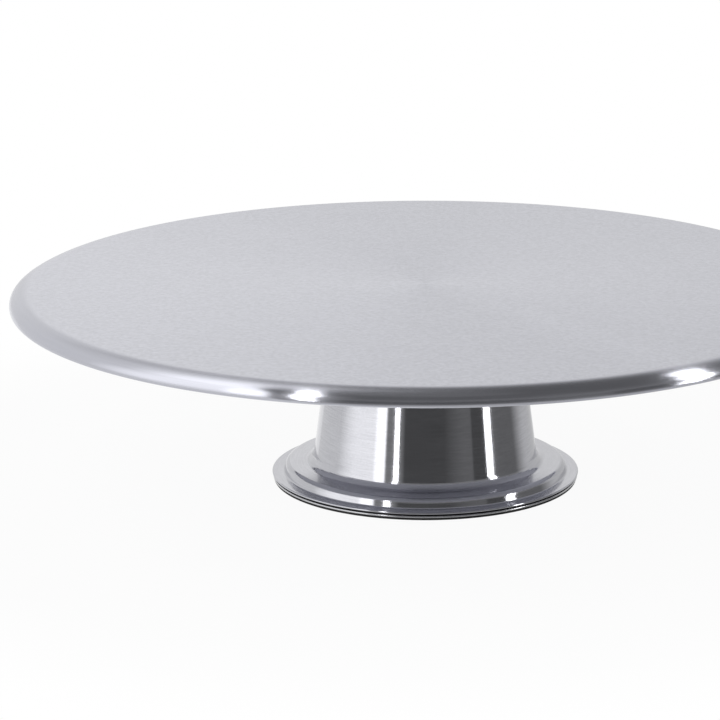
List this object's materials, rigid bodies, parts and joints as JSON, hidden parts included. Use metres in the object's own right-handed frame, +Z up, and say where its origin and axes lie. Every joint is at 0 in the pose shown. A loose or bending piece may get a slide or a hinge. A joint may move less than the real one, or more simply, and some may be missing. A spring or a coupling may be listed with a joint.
{
  "type": "cake turntable",
  "caption": "Low round cake turntable: a spun steel plate with a rolled rim on a waisted pedestal that turns on a ball race over a thin base disc.",
  "frame": {"origin": "on the table, at the turning axis", "axes": "+Z up along the turning axis; +X to the viewer's right and -Y towards the viewer of the picture"},
  "size_m": [0.31, 0.31, 0.075],
  "materials": {
    "plate_steel": "satin, brushed in circles",
    "pedestal_steel": "polished, with fine brush lines round the axis",
    "base_steel": "satin sheet",
    "carrier_steel": "plain pressed sheet",
    "fastener_steel": "bright zinc plating",
    "spring_steel": "dark oiled spring steel",
    "bearing_steel": "ground and polished",
    "bearing_plastic": "natural moulded plastic",
    "pad_rubber": "matt black rubber"
  },
  "bodies": {
    "base": {"base_disc": "base_steel", "anti_slip_ring": "pad_rubber", "lower_race": "bearing_steel", "lower_race_rivets": "fastener_steel", "kingpin": "fastener_steel", "kingpin_jam_nut": "fastener_steel", "thrust_washer": "bearing_plastic", "disc_spring": "spring_steel", "kingpin_washer": "fastener_steel", "kingpin_lock_nut": "fastener_steel"},
    "cage": {"ball_cage": "bearing_plastic", "bearing_balls": "bearing_steel"},
    "turntable": {"top_plate": "plate_steel", "plate_studs": "fastener_steel", "pedestal": "pedestal_steel", "stud_washers": "fastener_steel", "stud_lock_washers": "spring_steel", "stud_nuts": "fastener_steel", "carrier_plate": "carrier_steel", "upper_race": "bearing_steel", "upper_race_rivets": "fastener_steel", "pivot_bush": "bearing_plastic"}
  },
  "joints": [
    {"name": "plate_spin", "type": "hinge", "parent": "base", "child": "turntable", "pos_m": [0, 0, 0], "axis": [0, 0, 1], "continuous": true},
    {"name": "cage_spin", "type": "hinge", "parent": "base", "child": "cage", "pos_m": [0, 0, 0], "axis": [0, 0, 1], "continuous": true}
  ],
  "couplings": [
    {"joint": "cage_spin", "follows": "plate_spin", "ratio": 0.5}
  ]
}
